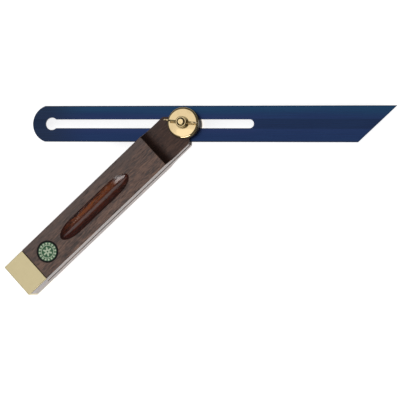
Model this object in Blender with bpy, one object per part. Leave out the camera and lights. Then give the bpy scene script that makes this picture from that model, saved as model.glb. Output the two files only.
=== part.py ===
# Sliding bevel: a slotted hardwood stock with a brass heel cap, a blued steel blade that swings
# and slides, and a pivot bolt with two brass discs and a wing nut that clamp it.
# Metres, +Z up. The origin is the centre of the bolt's flat back face, on the plane that the
# tool lies on. +X runs along the blade to its pointed end, and the stock runs away from the
# pivot at heel_angle. Stock pieces are drawn in the stock's own frame: x along it towards the
# heel, y across it, z up.
import math

import bmesh
import bpy
from mathutils import Matrix, Vector

# General play and cutting allowances
gap = 0.0003
overrun = 0.002
round_steps = 40

# Stock: the wooden body, measured from the pivot axis
stock_width = 0.0201
stock_thickness = 0.0159
heel_reach = 0.1215
heel_angle = math.radians(223.84)
stock_chamfer = 0.0004
shoulder_reach = 0.0048
shoulder_inner_reach = 0.003
shoulder_round = 0.002
lobe_margin = 0.0001
head_reach = 0.0215
head_relief = 0.0027
cove_length = 0.0074
cove_steps = 8

# Finger groove in the stock's upper face, between the head's step and the badge
groove_head_margin = 0.018
groove_badge_margin = 0.0044
groove_half_width = 0.0046
groove_depth = 0.0024
groove_end_length = 0.0105
groove_end_steps = 8

# Round badge let into the upper face, short of the cap
badge_cap_margin = 0.0043
badge_radius = 0.0056
badge_thickness = 0.0003

# Heel cap: a brass strap folded over the end of the stock, level with its faces and held by two
# pins through its end; the stock's sides stay bare between its plates
cap_length = 0.0131
cap_wall = 0.0012
cap_end_wall = 0.0013
cap_slot_overlap = 0.002
cap_round = 0.0005
cap_round_steps = 3
pin_radius = 0.0008
pin_length = 0.0075
pin_spacing = 0.0096
pin_play = 0.0001

# Blade: measured from the pivot axis with the slide at rest
blade_width = 0.01905
blade_thickness = 0.0012
blade_reach = 0.1107
blade_tail = 0.0827
blade_tip_angle = math.radians(43.8)
blade_chamfer = 0.00012
tail_excess = 0.00058
tail_steps = 28
blade_slot_width = 0.00468
blade_slot_reach = 0.0342
keyhole_setback = 0.0104

# Pivot bolt
shank_radius = 0.003
thread_radius = 0.0018
bolt_head_radius = 0.0045
bolt_rim = 0.0007
bolt_chamfer = 0.0003
bolt_dimple = 0.0003
bolt_proud = 0.0009

# Clamp discs
disc_radius = 0.00795
disc_thickness = 0.0017
disc_round = 0.0009
disc_round_steps = 4
rear_disc_chamfer = 0.0003

# Wing nut
hub_height = 0.0048
hub_wall = 0.0008
hub_flare = 0.0006
hub_chamfer = 0.0003
wing_span = 0.0178
wing_height = 0.0082
wing_thickness = 0.001
wing_tip_radius = 0.0023
wing_root = 0.0009
wing_chamfer = 0.00025
wing_turn = math.radians(-5.0)
wing_steps = 20

# Worked out from the sizes above
mid_height = stock_thickness / 2
head_low = head_relief
head_high = stock_thickness - head_relief
slot_thickness = blade_thickness + 2 * gap
lobe_radius = disc_radius + lobe_margin
cap_joint = heel_reach - cap_length
slot_end = cap_joint + cap_slot_overlap
badge_reach = cap_joint - badge_cap_margin - badge_radius
groove_start = head_reach + groove_head_margin
groove_end = badge_reach - badge_radius - groove_badge_margin
keyhole_reach = blade_tail - keyhole_setback
bore_radius = shank_radius + gap
rear_disc_low = bolt_rim
rear_disc_high = head_low - gap
countersink_top = rear_disc_high - gap
front_disc_low = head_high + gap
front_disc_high = front_disc_low + disc_thickness
nut_low = front_disc_high + gap
thread_end = nut_low + hub_height + bolt_proud


def make_material(name, color, roughness, metallic):
    material = bpy.data.materials.new(name)
    material.use_nodes = True
    shader = material.node_tree.nodes["Principled BSDF"]
    shader.inputs["Base Color"].default_value = (*color, 1)
    shader.inputs["Roughness"].default_value = roughness
    shader.inputs["Metallic"].default_value = metallic
    material.diffuse_color = (*color, 1)
    return material


def to_object(mesh_data, name):
    bmesh.ops.recalc_face_normals(mesh_data, faces=mesh_data.faces)
    mesh = bpy.data.meshes.new(name)
    mesh_data.to_mesh(mesh)
    mesh_data.free()
    piece = bpy.data.objects.new(name, mesh)
    bpy.context.collection.objects.link(piece)
    return piece


def prism(name, outline, low, high):
    # An outline in XY, raised from low to high
    mesh_data = bmesh.new()
    corners = [mesh_data.verts.new((x, y, low)) for x, y in outline]
    base = mesh_data.faces.new(corners)
    raised = bmesh.ops.extrude_face_region(mesh_data, geom=[base])["geom"]
    top = [item for item in raised if isinstance(item, bmesh.types.BMVert)]
    bmesh.ops.translate(mesh_data, verts=top, vec=(0, 0, high - low))
    return to_object(mesh_data, name)


def box(name, x_range, y_range, z_range):
    outline = [(x_range[0], y_range[0]), (x_range[1], y_range[0]),
               (x_range[1], y_range[1]), (x_range[0], y_range[1])]
    return prism(name, outline, *z_range)


def turned(name, profile, steps=round_steps):
    # A profile of (radius, height) points, turned about Z: it starts and ends on the axis for
    # a solid, and closes on itself for a ring
    mesh_data = bmesh.new()
    rings = []
    for radius, height in profile:
        count = steps if radius > 0 else 1
        angles = [2 * math.pi * step / steps for step in range(count)]
        rings.append([mesh_data.verts.new((radius * math.cos(angle), radius * math.sin(angle), height))
                      for angle in angles])
    pairs = list(zip(rings, rings[1:]))
    if profile[0][0] > 0:
        pairs.append((rings[-1], rings[0]))
    for near, far in pairs:
        for step in range(steps):
            following = (step + 1) % steps
            corners = [near[step % len(near)], near[following % len(near)],
                       far[following % len(far)], far[step % len(far)]]
            mesh_data.faces.new(list(dict.fromkeys(corners)))
    return to_object(mesh_data, name)


def arc(centre, radius, start, end, steps):
    angles = [start + (end - start) * step / steps for step in range(steps + 1)]
    return [(centre[0] + radius * math.cos(angle), centre[1] + radius * math.sin(angle))
            for angle in angles]


def rounded_corner(before, corner, after, radius, steps):
    # The arc of this radius that touches both lines that meet at the corner
    corner = Vector(corner)
    to_before = (Vector(before) - corner).normalized()
    to_after = (Vector(after) - corner).normalized()
    half = to_before.angle(to_after) / 2
    centre = corner + (to_before + to_after).normalized() * radius / math.sin(half)
    arm = corner + to_before * radius / math.tan(half) - centre
    turn = math.copysign(math.pi - 2 * half, to_after.cross(to_before))
    start = math.atan2(arm.y, arm.x)
    return arc(centre, radius, start, start + turn, steps)


def lay_along_x(piece):
    # Height above the drawing plane becomes distance along X
    piece.data.transform(Matrix.Rotation(math.pi / 2, 4, "Y"))
    return piece


def stand_up(piece):
    # The outline's second axis becomes height
    piece.data.transform(Matrix.Rotation(math.pi / 2, 4, "X"))
    return piece


def chamfer_edges(piece, width, steps, chosen):
    # Bevel the edges for which chosen(start, end) is true
    mesh_data = bmesh.new()
    mesh_data.from_mesh(piece.data)
    edges = [edge for edge in mesh_data.edges if chosen(edge.verts[0].co, edge.verts[1].co)]
    bmesh.ops.bevel(mesh_data, geom=edges, offset=width, offset_type="OFFSET", segments=steps,
                    profile=0.5, affect="EDGES", clamp_overlap=True)
    mesh_data.to_mesh(piece.data)
    mesh_data.free()


def combine(piece, other, operation):
    # Boolean the other shape into the piece and drop it
    modifier = piece.modifiers.new(operation.lower(), "BOOLEAN")
    modifier.operation = operation
    modifier.solver = "EXACT"
    modifier.object = other
    bpy.context.view_layer.update()
    evaluated = piece.evaluated_get(bpy.context.evaluated_depsgraph_get())
    mesh = bpy.data.meshes.new_from_object(evaluated)
    piece.modifiers.clear()
    piece.data = mesh
    bpy.data.objects.remove(other)


def cut(piece, cutter):
    combine(piece, cutter, "DIFFERENCE")


def fuse(piece, addition):
    combine(piece, addition, "UNION")


def finish(piece, material, parent=None):
    piece.data.name = piece.name
    piece.data.materials.clear()
    piece.data.materials.append(material)
    piece.data.shade_smooth()
    piece.data.set_sharp_from_angle(angle=math.radians(28))
    piece.parent = parent
    return piece


def build_stock(material, parent):
    half_width = stock_width / 2
    joint_face = cap_joint - gap
    tenon_inset = cap_wall + gap
    tenon_end = heel_reach - cap_end_wall - gap
    corner_steps = 6
    # Each shoulder slants in to a point just inside the round end
    inner = (shoulder_inner_reach, math.sqrt((lobe_radius - gap) ** 2 - shoulder_inner_reach ** 2))
    upper_side = [(tenon_end, half_width)]
    upper_side += rounded_corner(upper_side[0], (shoulder_reach, half_width), inner,
                                 shoulder_round, corner_steps)
    upper_side.append(inner)
    outline = upper_side + [(x, -y) for x, y in reversed(upper_side)]
    stock = prism("stock", outline, 0, stock_thickness)
    # Only the four long edges are chamfered
    long_edge = (joint_face - shoulder_reach) / 2
    chamfer_edges(stock, stock_chamfer, 1, lambda start, end: abs(start.x - end.x) > long_edge)

    # The round end about the pivot, kept inside the faces that the head's relief leaves
    lobe = turned("lobe", [(0, head_low / 2), (lobe_radius, head_low / 2),
                           (lobe_radius, stock_thickness - head_low / 2),
                           (0, stock_thickness - head_low / 2)])
    fuse(stock, lobe)

    # Both faces of the head are let down, and a concave cove leads back up to the full face
    cove_radius = (cove_length ** 2 + head_relief ** 2) / (2 * head_relief)
    cove_sweep = math.asin(cove_length / cove_radius)
    cove = arc((head_reach - cove_length, head_high + cove_radius), cove_radius,
               -math.pi / 2, cove_sweep - math.pi / 2, cove_steps)
    beyond = -lobe_radius - overrun
    outside = half_width + overrun
    above = stock_thickness + overrun
    relief = [(beyond, head_high)] + cove + [(head_reach, above), (beyond, above)]
    cut(stock, stand_up(prism("upper_relief", relief, -outside, outside)))
    relief = [(x, stock_thickness - z) for x, z in relief]
    cut(stock, stand_up(prism("lower_relief", relief, -outside, outside)))

    # The tenon between the cap's plates
    for low, high in ((-overrun, tenon_inset), (stock_thickness - tenon_inset, above)):
        cut(stock, box("cap_rebate", (joint_face, heel_reach), (-outside, outside), (low, high)))

    # The blade's slot, open at the head and along both sides, which runs a little way in
    # between the cap's plates
    cut(stock, box("blade_slot", (beyond, slot_end), (-outside, outside),
                   (mid_height - slot_thickness / 2, mid_height + slot_thickness / 2)))

    # The bolt's bore
    cut(stock, turned("bore", [(0, -overrun), (bore_radius, -overrun),
                               (bore_radius, above), (0, above)]))
    cut(stock, groove_cutter())

    # The badge's recess
    recess_radius = badge_radius + gap
    recess_floor = stock_thickness - badge_thickness - gap
    recess = turned("recess", [(0, recess_floor), (recess_radius, recess_floor),
                               (recess_radius, above), (0, above)])
    recess.data.transform(Matrix.Translation((badge_reach, 0, 0)))
    cut(stock, recess)

    for side in (-1, 1):
        cut(stock, pin_shape("pin_hole", side, pin_play, gap))
    return finish(stock, material, parent)


def groove_cutter():
    # A spindle lying along the groove: its section is the circle that gives the groove's depth
    # and width, and its half width at the face follows an ellipse over each end
    section = (groove_half_width ** 2 + groove_depth ** 2) / (2 * groove_depth)
    lift = section - groove_depth
    start_share = 0.96
    profile = [(0, groove_start), (lift * start_share, groove_start)]
    end_radii = []
    for step in range(1, groove_end_steps + 1):
        share = 1 - math.cos(math.pi / 2 * step / groove_end_steps)
        half_width = groove_half_width * math.sqrt(1 - (1 - share) ** 2)
        end_radii.append((math.hypot(lift, half_width), groove_end_length * share))
    profile += [(radius, groove_start + along) for radius, along in end_radii]
    profile += [(radius, groove_end - along) for radius, along in reversed(end_radii)]
    profile += [(lift * start_share, groove_end), (0, groove_end)]
    spindle = lay_along_x(turned("finger_groove", profile))
    spindle.data.transform(Matrix.Translation((0, 0, stock_thickness + lift)))
    return spindle


def pin_shape(name, side, extra_radius, extra_depth):
    # A pin driven in through the cap's end, or the hole for it
    radius = pin_radius + extra_radius
    start = heel_reach - pin_length - extra_depth
    end = heel_reach + (overrun if extra_radius else 0)
    pin_steps = 16
    pin = lay_along_x(turned(name, [(0, start), (radius, start), (radius, end), (0, end)], pin_steps))
    pin.data.transform(Matrix.Translation((0, side * pin_spacing / 2, mid_height)))
    return pin


def build_heel_cap(material, parent):
    half_width = stock_width / 2
    cap = box("heel_cap", (cap_joint, heel_reach), (-half_width, half_width), (0, stock_thickness))
    # Every edge is eased but the four of the open rim
    rim = cap_joint + cap_length / 2
    chamfer_edges(cap, cap_round, cap_round_steps, lambda start, end: max(start.x, end.x) > rim)
    cut(cap, box("cap_opening", (cap_joint - overrun, heel_reach - cap_end_wall),
                 (-half_width - overrun, half_width + overrun),
                 (cap_wall, stock_thickness - cap_wall)))
    for side in (-1, 1):
        cut(cap, pin_shape("pin_hole", side, pin_play, gap))
    return finish(cap, material, parent)


def build_cap_pins(material, parent):
    return [finish(pin_shape(name, side, 0, 0), material, parent)
            for name, side in (("cap_pin_left", -1), ("cap_pin_right", 1))]


def build_badge(material, parent):
    badge = turned("badge", [(0, -badge_thickness), (badge_radius, -badge_thickness),
                             (badge_radius, 0), (0, 0)])
    badge.location = (badge_reach, 0, stock_thickness)
    return finish(badge, material, parent)


def build_rear_disc(material, parent):
    # Countersunk from below for the bolt's head
    disc = turned("rear_disc", [
        (bolt_head_radius + gap, rear_disc_low),
        (disc_radius - rear_disc_chamfer, rear_disc_low),
        (disc_radius, rear_disc_low + rear_disc_chamfer),
        (disc_radius, rear_disc_high),
        (bore_radius, rear_disc_high),
        (bore_radius, countersink_top),
    ])
    return finish(disc, material, parent)


def build_front_disc(material):
    # The upper edge is rounded over
    rim = arc((disc_radius - disc_round, disc_thickness - disc_round), disc_round,
              0, math.pi / 2, disc_round_steps)
    bore = thread_radius + gap
    disc = turned("front_disc", [(bore, 0), (disc_radius, 0)] + rim + [(bore, disc_thickness)])
    disc.location = (0, 0, front_disc_low)
    return finish(disc, material)


def build_pivot_bolt(material):
    shoulder = head_high - gap
    bolt = turned("pivot_bolt", [
        (0, 0),
        (bolt_head_radius - bolt_chamfer, 0),
        (bolt_head_radius, bolt_chamfer),
        (bolt_head_radius, bolt_rim),
        (shank_radius, countersink_top),
        (shank_radius, shoulder),
        (thread_radius, shoulder),
        (thread_radius, thread_end - bolt_chamfer),
        (thread_radius - bolt_chamfer, thread_end),
        (bolt_dimple, thread_end),
        (0, thread_end - bolt_dimple),
    ])
    # Two flats ride in the blade's slot, so the bolt turns with the blade and not with the nut
    flat = blade_slot_width / 2 - gap
    for side in (-1, 1):
        near, far = sorted((side * flat, side * (shank_radius + overrun)))
        cut(bolt, box("flat", (-shank_radius - overrun, shank_radius + overrun), (near, far),
                      (mid_height - slot_thickness / 2, mid_height + slot_thickness / 2)))
    return finish(bolt, material)


def build_blade(material):
    half_width = blade_width / 2
    half_slot = blade_slot_width / 2
    # The tail is an arc of a slightly larger radius than half the width, so it meets the long
    # edges at a soft corner
    tail_radius = half_width + tail_excess
    tail_centre = tail_radius - blade_tail
    tail_sweep = math.asin(half_width / tail_radius)
    tip_run = blade_width / math.tan(blade_tip_angle)
    outline = [(blade_reach - tip_run, -half_width), (blade_reach, half_width)]
    outline += arc((tail_centre, 0), tail_radius, math.pi - tail_sweep, math.pi + tail_sweep,
                   tail_steps)
    blade = prism("blade", outline, -blade_thickness / 2, blade_thickness / 2)
    chamfer_edges(blade, blade_chamfer, 1, lambda start, end: start.z == end.z)

    slot_outline = arc((blade_slot_reach, 0), half_slot, -math.pi / 2, math.pi / 2, tail_steps // 2)
    slot_outline += [(-keyhole_reach, half_slot), (-keyhole_reach, -half_slot)]
    cut(blade, prism("sliding_slot", slot_outline, -blade_thickness, blade_thickness))
    keyhole = turned("keyhole", [(0, -blade_thickness), (bore_radius, -blade_thickness),
                                 (bore_radius, blade_thickness), (0, blade_thickness)])
    keyhole.data.transform(Matrix.Translation((-keyhole_reach, 0, 0)))
    cut(blade, keyhole)
    blade.location = (0, 0, mid_height)
    return finish(blade, material)


def build_wing_nut(material):
    # A flared hub with two thin wings that rise outwards to a round tip
    bore = thread_radius + gap
    top_radius = bore + hub_wall
    hub = turned("wing_nut", [
        (bore, 0),
        (top_radius + hub_flare, 0),
        (top_radius + hub_flare, hub_chamfer),
        (top_radius, hub_height - hub_chamfer),
        (top_radius - hub_chamfer, hub_height),
        (bore, hub_height),
    ])
    tip_reach = wing_span / 2 - wing_tip_radius
    tip_height = wing_height - wing_tip_radius
    root = bore + hub_wall / 2
    for side in (-1, 1):
        # Seen from the front: root low, round the tip, root high
        outline = [(root, wing_root)]
        outline += arc((tip_reach, tip_height), wing_tip_radius, -math.pi / 3, math.pi * 2 / 3,
                       wing_steps)
        outline += [(root, hub_height - wing_root)]
        outline = [(side * x, z) for x, z in outline]
        wing = prism("wing", outline, -wing_thickness / 2, wing_thickness / 2)
        stand_up(wing)
        edge = wing_thickness / 2 - wing_chamfer
        chamfer_edges(wing, wing_chamfer, 2,
                      lambda start, end: start.y * end.y > edge ** 2
                      and max(abs(start.x), abs(end.x)) > root)
        fuse(hub, wing)
    hub.location = (0, 0, nut_low)
    hub.rotation_euler = (0, 0, wing_turn)
    return finish(hub, material)


def main():
    for item in list(bpy.data.objects):
        bpy.data.objects.remove(item)
    rosewood = make_material("rosewood", (0.105, 0.065, 0.05), 0.42, 0)
    brass = make_material("polished_brass", (0.83, 0.66, 0.36), 0.22, 1)
    turned_brass = make_material("turned_brass", (0.86, 0.71, 0.44), 0.2, 1)
    blued_steel = make_material("blued_steel", (0.03, 0.09, 0.26), 0.3, 1)
    bolt_brass = make_material("bolt_brass", (0.8, 0.63, 0.35), 0.28, 1)
    green_enamel = make_material("green_enamel", (0.13, 0.3, 0.16), 0.35, 0)

    stock_frame = bpy.data.objects.new("stock_frame", None)
    stock_frame.rotation_euler = (0, 0, heel_angle)
    bpy.context.collection.objects.link(stock_frame)

    build_stock(rosewood, stock_frame)
    build_heel_cap(brass, stock_frame)
    build_cap_pins(brass, stock_frame)
    build_badge(green_enamel, stock_frame)
    build_rear_disc(turned_brass, stock_frame)
    build_blade(blued_steel)
    build_pivot_bolt(bolt_brass)
    build_front_disc(turned_brass)
    build_wing_nut(turned_brass)
    bpy.context.view_layer.update()


main()
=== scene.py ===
import math

import bmesh
import bpy
import numpy as np
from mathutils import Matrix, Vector


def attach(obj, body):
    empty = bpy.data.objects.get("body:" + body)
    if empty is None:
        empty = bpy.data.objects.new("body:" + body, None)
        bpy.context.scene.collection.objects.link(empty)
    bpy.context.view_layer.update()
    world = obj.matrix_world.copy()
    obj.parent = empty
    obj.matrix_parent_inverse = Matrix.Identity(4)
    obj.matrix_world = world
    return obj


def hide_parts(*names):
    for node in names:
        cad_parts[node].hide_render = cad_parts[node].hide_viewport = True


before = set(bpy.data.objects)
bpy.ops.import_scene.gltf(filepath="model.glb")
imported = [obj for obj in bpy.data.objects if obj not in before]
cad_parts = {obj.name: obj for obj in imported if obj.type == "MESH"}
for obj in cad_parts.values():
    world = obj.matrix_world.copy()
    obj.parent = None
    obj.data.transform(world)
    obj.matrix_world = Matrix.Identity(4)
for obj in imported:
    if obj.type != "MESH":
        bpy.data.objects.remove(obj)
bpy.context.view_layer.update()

# Heights that the pieces share, in metres above the plane that the tool lies on, and two directions
levels = {
    "thickness": 0.0159,      # the stock from face to face
    "middle": 0.00795,        # the blade's middle plane
    "headTop": 0.0132,        # the let-down face of the head
    "slotHalf": 0.0009,       # half the slot's height
    "discTop": 0.0152,        # top of the front disc
    "nutFoot": 0.0155,        # where the wing nut stands
    "stockAngle": math.radians(223.84),  # direction of the stock from the pivot
    "nutTurn": math.radians(-5),         # direction of the wings
}


# Building helpers

def gridFaces(rows, columns, closeColumns=False):
    # Quads between neighbouring rows and columns of a rows x columns grid of points
    steps = columns if closeColumns else columns - 1
    i, j = np.meshgrid(np.arange(rows - 1), np.arange(steps), indexing="ij")
    after = (j + 1) % columns
    quads = np.stack([i * columns + j, i * columns + after,
                      (i + 1) * columns + after, (i + 1) * columns + j], axis=-1)
    return quads.reshape(-1, 4).tolist()


def turnPoints(points, turn):
    # Points turned about the upright axis through the pivot
    x, y, height = points[..., 0], points[..., 1], points[..., 2]
    return np.stack([x * math.cos(turn) - y * math.sin(turn),
                     x * math.sin(turn) + y * math.cos(turn), height], axis=-1)


def toWorld(points):
    # Stock coordinates (along, across, height) turned to the stock's direction
    return turnPoints(points, levels["stockAngle"])


def turnMesh(mesh, turn):
    points = np.empty(len(mesh.vertices) * 3)
    mesh.vertices.foreach_get("co", points)
    mesh.vertices.foreach_set("co", turnPoints(points.reshape(-1, 3), turn).ravel())
    mesh.update()


def makeMesh(name, points, faces):
    # Points and faces as a mesh, its doubled seams and poles merged and its faces turned outwards
    mesh = bpy.data.meshes.new(name)
    mesh.from_pydata(np.asarray(points).reshape(-1, 3).tolist(), [], faces)
    work = bmesh.new()
    work.from_mesh(mesh)
    bmesh.ops.remove_doubles(work, verts=work.verts, dist=2e-7)
    bmesh.ops.dissolve_degenerate(work, edges=work.edges, dist=1e-8)
    bmesh.ops.recalc_face_normals(work, faces=work.faces)
    work.to_mesh(mesh)
    work.free()
    return mesh


def joinMeshes(name, meshes):
    work = bmesh.new()
    for mesh in meshes:
        work.from_mesh(mesh)
    joined = bpy.data.meshes.new(name)
    work.to_mesh(joined)
    work.free()
    return joined


def addToScene(name, data):
    item = bpy.data.objects.new(name, data)
    bpy.context.scene.collection.objects.link(item)
    return item


def reshape(mesh, prepare):
    # Puts the mesh on a passing object, lets prepare() add modifiers, and returns the result
    holder = addToScene("holder", mesh)
    extras = prepare(holder) or []
    bpy.context.view_layer.update()
    result = holder.evaluated_get(bpy.context.evaluated_depsgraph_get())
    shaped = bpy.data.meshes.new_from_object(result)
    for item in [holder] + extras:
        bpy.data.objects.remove(item)
    return shaped


def makePiece(name, mesh, material, body, nodes, sharpAngle=32):
    # A finished piece: it rides on its body and stands for its CAD nodes. Its normals are the means
    # of the faces' normals by area, which keeps the large faces flat beside their rounded edges
    mesh.shade_smooth()
    mesh.set_sharp_from_angle(angle=math.radians(sharpAngle))

    def weigh(holder):
        even = holder.modifiers.new("even", "WEIGHTED_NORMAL")
        even.keep_sharp = True

    mesh = reshape(mesh, weigh)
    mesh.name = name
    mesh.materials.clear()
    mesh.materials.append(material)
    piece = addToScene(name, mesh)
    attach(piece, body)
    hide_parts(*nodes)
    print(name, "made with", len(mesh.polygons), "faces")


def cutAway(mesh, cutters):
    # The mesh less each of the cutter meshes
    def prepare(holder):
        tools = []
        for cutter in cutters:
            tool = addToScene("tool", cutter)
            modifier = holder.modifiers.new("cut", "BOOLEAN")
            modifier.operation = "DIFFERENCE"
            modifier.solver = "EXACT"
            modifier.object = tool
            tools.append(tool)
        return tools
    return reshape(mesh, prepare)


def roundCorners(corners, steps=5):
    # A polyline in which each corner (a, b, radius) is replaced by the arc that touches both sides
    path = [np.array(corners[0][:2])]
    for before, (a, b, radius), after in zip(corners, corners[1:], corners[2:]):
        here = np.array([a, b])
        if radius <= 0:
            path.append(here)
            continue
        back = (np.array(before[:2]) - here) / np.linalg.norm(np.array(before[:2]) - here)
        on = (np.array(after[:2]) - here) / np.linalg.norm(np.array(after[:2]) - here)
        half = math.acos(np.clip(back @ on, -1, 1)) / 2
        centre = here + (back + on) / np.linalg.norm(back + on) * radius / math.sin(half)
        first = here + back * radius / math.tan(half) - centre
        last = here + on * radius / math.tan(half) - centre
        sweep = math.pi - 2 * half
        shares = np.linspace(0, 1, steps + 1)[:, None]
        path.extend(centre + (np.sin((1 - shares) * sweep) * first + np.sin(shares * sweep) * last)
                    / math.sin(sweep))
    path.append(np.array(corners[-1][:2]))
    return np.array(path)


def turnedSurface(profile, steps=96, centre=(0, 0)):
    # A profile of (radius, height) turned about the upright axis through centre
    profile = np.asarray(profile)
    angle = np.linspace(0, 2 * math.pi, steps, endpoint=False)
    radius, height = profile[:, 0, None], profile[:, 1, None]
    points = np.stack([centre[0] + radius * np.cos(angle), centre[1] + radius * np.sin(angle),
                       height + 0 * angle], axis=-1)
    return points, gridFaces(len(profile), steps, closeColumns=True)


def turnedMesh(name, profile, steps=96, centre=(0, 0)):
    # A closed profile gives a ring, and one that starts and ends on the axis gives a solid
    return makeMesh(name, *turnedSurface(profile, steps, centre))


def insetLoop(loop, distance):
    # Each point of a closed loop moved along the mean of its two sides' normals
    ahead = np.roll(loop, -1, axis=0) - loop
    ahead /= np.linalg.norm(ahead, axis=1)[:, None]
    behind = np.roll(ahead, 1, axis=0)
    mean = np.c_[-(ahead + behind)[:, 1], (ahead + behind)[:, 0]]
    mean /= np.linalg.norm(mean, axis=1)[:, None]
    cosine = np.clip((mean * np.c_[-ahead[:, 1], ahead[:, 0]]).sum(axis=1), 0.35, 1)
    return loop + mean * distance / cosine[:, None]


def prism(name, first, second):
    # Two loops of equal count, joined by walls and closed by a face each
    count = len(first)
    around = np.arange(count)
    after = (around + 1) % count
    walls = np.stack([around, after, after + count, around + count], axis=-1).tolist()
    ends = [around[::-1].tolist(), (around + count).tolist()]
    return makeMesh(name, np.concatenate([first, second]), walls + ends)


def bar(name, corners, low, high):
    # An outline of (x, y) corners raised from low to high
    count = len(corners)
    return prism(name, np.c_[corners, np.full(count, low)], np.c_[corners, np.full(count, high)])


# Material helpers

def makeMaterial(name, settings=None):
    # A material whose shader has these even values, with its node tree
    material = bpy.data.materials.new(name)
    material.use_nodes = True
    shader = material.node_tree.nodes["Principled BSDF"]
    for key, value in (settings or {}).items():
        shader.inputs[key].default_value = value
    return material, material.node_tree, shader


def addNode(tree, kind, inputs=None, **settings):
    # A node with its settings, and inputs that are either values or the sockets they come from
    node = tree.nodes.new(kind)
    for key, value in settings.items():
        setattr(node, key, value)
    for key, value in (inputs or {}).items():
        if isinstance(value, bpy.types.NodeSocket):
            tree.links.new(value, node.inputs[key])
        else:
            node.inputs[key].default_value = value
    return node


def calculate(tree, operation, *values):
    return addNode(tree, "ShaderNodeMath", dict(enumerate(values)), operation=operation).outputs[0]


def product(tree, first, *others):
    for other in others:
        first = calculate(tree, "MULTIPLY", first, other)
    return first


def length(tree, x, y):
    # The square root of x squared plus y squared
    xSquared, ySquared = calculate(tree, "POWER", x, 2.0), calculate(tree, "POWER", y, 2.0)
    return calculate(tree, "SQRT", calculate(tree, "ADD", xSquared, ySquared))


def separate(tree, place):
    return addNode(tree, "ShaderNodeSeparateXYZ", {"Vector": place}).outputs


def cloudNoise(tree, place, scale, detail):
    settings = {"Vector": place, "Scale": scale, "Detail": detail}
    return addNode(tree, "ShaderNodeTexNoise", settings).outputs["Fac"]


def fade(tree, value, low, high, start=0.0, end=1.0):
    # Goes smoothly from start to end as the value goes from low to high
    settings = {"Value": value, "From Min": low, "From Max": high, "To Min": start, "To Max": end}
    return addNode(tree, "ShaderNodeMapRange", settings,
                   interpolation_type="SMOOTHSTEP").outputs["Result"]


def blendColors(tree, share, first, second):
    node = addNode(tree, "ShaderNodeMix", {"Factor": share}, data_type="RGBA")
    # Sockets 6 and 7 of the node are its two colours
    for socket, value in ((node.inputs[6], first), (node.inputs[7], second)):
        if isinstance(value, bpy.types.NodeSocket):
            tree.links.new(value, socket)
        else:
            socket.default_value = (*value, 1)
    return node.outputs[2]


def placedCoordinates(tree, turn=0.0, centre=(0, 0, 0)):
    # Object coordinates moved so that centre is zero, then turned back by turn
    source = addNode(tree, "ShaderNodeTexCoord").outputs["Object"]
    shift = [-value for value in centre]
    moved = addNode(tree, "ShaderNodeMapping", {"Vector": source, "Location": shift}).outputs[0]
    settings = {"Vector": moved, "Rotation": (0, 0, -turn)}
    return addNode(tree, "ShaderNodeMapping", settings).outputs[0]


def streaks(tree, coordinates, stretch, detail=3.0, roughness=0.55):
    # Noise drawn out along the axis whose stretch is smallest, from 0 to 1
    drawn = addNode(tree, "ShaderNodeMapping", {"Vector": coordinates, "Scale": stretch}).outputs[0]
    settings = {"Vector": drawn, "Scale": 1.0, "Detail": detail, "Roughness": roughness}
    return addNode(tree, "ShaderNodeTexNoise", settings).outputs["Fac"]


def addBump(tree, shader, height, strength, distance):
    settings = {"Height": height, "Strength": strength, "Distance": distance}
    bump = addNode(tree, "ShaderNodeBump", settings)
    tree.links.new(bump.outputs["Normal"], shader.inputs["Normal"])


# Rosewood: dark heartwood with fine streaks and pores along the stock, glossy in the groove

rosewoodLook = {
    "dark": (0.044, 0.018, 0.011),
    "body": (0.130, 0.060, 0.037),
    "pale": (0.240, 0.120, 0.074),
    "cool": (0.096, 0.056, 0.045),
    "head": (0.030, 0.007, 0.003),
    # Painted shade for the cove and for the round end's wall
    "cove": (0.009, 0.0025, 0.0015),
    "grooveDark": (0.022, 0.004, 0.002),
    "grooveRed": (0.080, 0.011, 0.006),
    # Painted light on one wall of the groove
    "grooveLitWall": (0.30, 0.078, 0.016),
    "pore": (0.010, 0.006, 0.005),
    "roughness": 0.34,
    "headRoughness": 0.62,
    "sideRoughness": 0.15,
    "coveRoughness": 0.24,
    "grooveRoughness": 0.13,
    "poreDepth": 0.00004,
    # Noise cells to the metre along and across the stock and in its height
    "figureCells": (36, 340, 290),
    "fineCells": (230, 1350, 1200),
    "driftCells": (10, 90, 90),
    "poreCells": (170, 1900, 1700),
    # The box that holds the groove: along from, along to, half its width, height from
    "grooveBox": (0.030, 0.091, 0.0047, 0.0131),
    # Where the painted light on one wall of the groove fades out, across and along the stock
    "litWallAcross": (-0.0021, -0.0006),
    "litWallAlong": (0.076, 0.085),
    # Where the painted shade on the pivot end's wall stops: along the stock, and above it in height
    "endReach": 0.0036,
    "endTop": 0.0129,
}


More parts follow.
